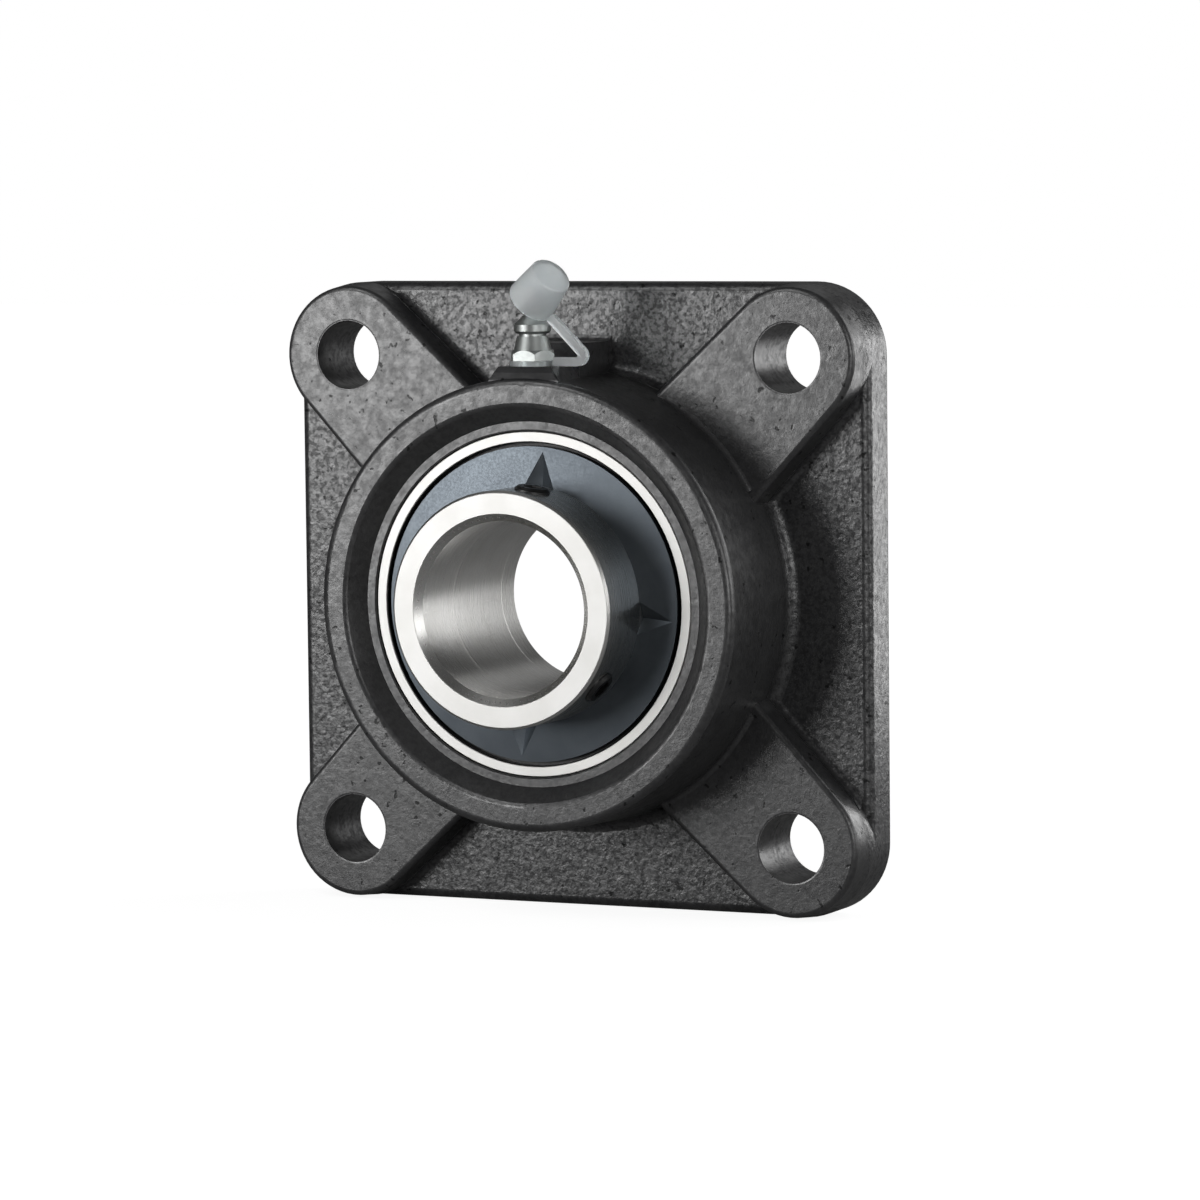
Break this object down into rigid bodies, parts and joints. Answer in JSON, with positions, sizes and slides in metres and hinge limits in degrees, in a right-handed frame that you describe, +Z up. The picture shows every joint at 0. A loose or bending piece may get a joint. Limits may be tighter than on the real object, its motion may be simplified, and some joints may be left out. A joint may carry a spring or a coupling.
{
  "type": "flange bearing unit",
  "caption": "Square cast flange with a bolt hole at each corner and a round hub that carries a self-aligning ball bearing insert with set screws and a capped grease nipple.",
  "frame": {"origin": "centre of the bolt pattern, on the machined back face", "axes": "-Y out of the nose along the shaft, X to the right seen from the nose, +Z up to the grease nipple"},
  "size_m": [0.108, 0.0402, 0.1124],
  "materials": {
    "cast_paint": "sand-cast iron in semi-gloss black paint, pitted and lumpy",
    "ring_steel": "ground and honed bearing steel, bright on the faces and in the bore",
    "slinger_steel": "pressed sheet with a blue-grey satin finish",
    "shell_steel": "pressed sheet, satin",
    "seal_rubber": "matt nitrile rubber bonded to the shell",
    "cage_steel": "pressed sheet, lightly oiled",
    "ball_steel": "polished bearing balls",
    "spring_steel": "bare drawn wire",
    "zinc": "bright zinc plate on turned steel",
    "screw_steel": "black oxide with a knurled-looking dull grain",
    "cap_plastic": "frosted, slightly milky moulded polyethylene"
  },
  "bodies": {
    "housing": {"housing": "cast_paint", "grease_nipple": "zinc", "nipple_spring": "spring_steel", "strap_ring": "cap_plastic", "cap_strap": "cap_plastic"},
    "insert": {"outer_ring": "ring_steel", "seal_shell_front": "shell_steel", "seal_shell_rear": "shell_steel", "seal_lip_front": "seal_rubber", "seal_lip_rear": "seal_rubber"},
    "shaft_ring": {"inner_ring": "ring_steel", "slinger_front": "slinger_steel", "slinger_rear": "slinger_steel"},
    "cage": {"cage_front": "cage_steel", "cage_rear": "cage_steel", "cage_rivets": "cage_steel"},
    "set_screw_1": {"set_screw_1": "screw_steel"},
    "set_screw_2": {"set_screw_2": "screw_steel"},
    "nipple_ball": {"nipple_ball": "ball_steel"},
    "dust_cap": {"dust_cap": "cap_plastic"},
    "ball_1": {"ball_1": "ball_steel"},
    "ball_2": {"ball_2": "ball_steel"},
    "ball_3": {"ball_3": "ball_steel"},
    "ball_4": {"ball_4": "ball_steel"},
    "ball_5": {"ball_5": "ball_steel"},
    "ball_6": {"ball_6": "ball_steel"},
    "ball_7": {"ball_7": "ball_steel"},
    "ball_8": {"ball_8": "ball_steel"},
    "ball_9": {"ball_9": "ball_steel"}
  },
  "joints": [
    {"name": "self_align", "type": "hinge", "parent": "housing", "child": "insert", "pos_m": [0, -0.018, 0], "axis": [1, 0, 0], "range_deg": [-2, 2]},
    {"name": "shaft_spin", "type": "hinge", "parent": "insert", "child": "shaft_ring", "pos_m": [0, -0.018, 0], "axis": [0, 1, 0], "continuous": true},
    {"name": "cage_spin", "type": "hinge", "parent": "insert", "child": "cage", "pos_m": [0, -0.018, 0], "axis": [0, 1, 0], "continuous": true},
    {"name": "ball_1_spin", "type": "hinge", "parent": "cage", "child": "ball_1", "pos_m": [0.00787, -0.018, 0.02161], "axis": [0, 1, 0], "continuous": true},
    {"name": "ball_2_spin", "type": "hinge", "parent": "cage", "child": "ball_2", "pos_m": [0.01992, -0.018, 0.0115], "axis": [0, 1, 0], "continuous": true},
    {"name": "ball_3_spin", "type": "hinge", "parent": "cage", "child": "ball_3", "pos_m": [0.02265, -0.018, -0.00399], "axis": [0, 1, 0], "continuous": true},
    {"name": "ball_4_spin", "type": "hinge", "parent": "cage", "child": "ball_4", "pos_m": [0.01478, -0.018, -0.01762], "axis": [0, 1, 0], "continuous": true},
    {"name": "ball_5_spin", "type": "hinge", "parent": "cage", "child": "ball_5", "pos_m": [0, -0.018, -0.023], "axis": [0, 1, 0], "continuous": true},
    {"name": "ball_6_spin", "type": "hinge", "parent": "cage", "child": "ball_6", "pos_m": [-0.01478, -0.018, -0.01762], "axis": [0, 1, 0], "continuous": true},
    {"name": "ball_7_spin", "type": "hinge", "parent": "cage", "child": "ball_7", "pos_m": [-0.02265, -0.018, -0.00399], "axis": [0, 1, 0], "continuous": true},
    {"name": "ball_8_spin", "type": "hinge", "parent": "cage", "child": "ball_8", "pos_m": [-0.01992, -0.018, 0.0115], "axis": [0, 1, 0], "continuous": true},
    {"name": "ball_9_spin", "type": "hinge", "parent": "cage", "child": "ball_9", "pos_m": [-0.00787, -0.018, 0.02161], "axis": [0, 1, 0], "continuous": true},
    {"name": "set_screw_1_travel", "type": "slide", "parent": "shaft_ring", "child": "set_screw_1", "axis": [0.1736, 0, 0.9848], "range_m": [-0.0003, 0.005]},
    {"name": "set_screw_2_travel", "type": "slide", "parent": "shaft_ring", "child": "set_screw_2", "axis": [0.766, 0, -0.6428], "range_m": [-0.0003, 0.005]},
    {"name": "nipple_check", "type": "slide", "parent": "housing", "child": "nipple_ball", "axis": [0, 0, 1], "range_m": [-0.0008, 0], "stiffness_N_per_m": 50, "springref_m": 0.0004, "deforming": ["nipple_spring"]},
    {"name": "cap_open", "type": "hinge", "parent": "housing", "child": "dust_cap", "pos_m": [0.0094, -0.0261, 0.0419], "axis": [0, 1, 0], "range_deg": [0, 100], "deforming": ["cap_strap"]}
  ],
  "couplings": [
    {"joint": "cage_spin", "follows": "shaft_spin", "ratio": 0.39647},
    {"joint": "ball_1_spin", "follows": "shaft_spin", "ratio": -2.3112},
    {"joint": "ball_2_spin", "follows": "shaft_spin", "ratio": -2.3112},
    {"joint": "ball_3_spin", "follows": "shaft_spin", "ratio": -2.3112},
    {"joint": "ball_4_spin", "follows": "shaft_spin", "ratio": -2.3112},
    {"joint": "ball_5_spin", "follows": "shaft_spin", "ratio": -2.3112},
    {"joint": "ball_6_spin", "follows": "shaft_spin", "ratio": -2.3112},
    {"joint": "ball_7_spin", "follows": "shaft_spin", "ratio": -2.3112},
    {"joint": "ball_8_spin", "follows": "shaft_spin", "ratio": -2.3112},
    {"joint": "ball_9_spin", "follows": "shaft_spin", "ratio": -2.3112}
  ]
}
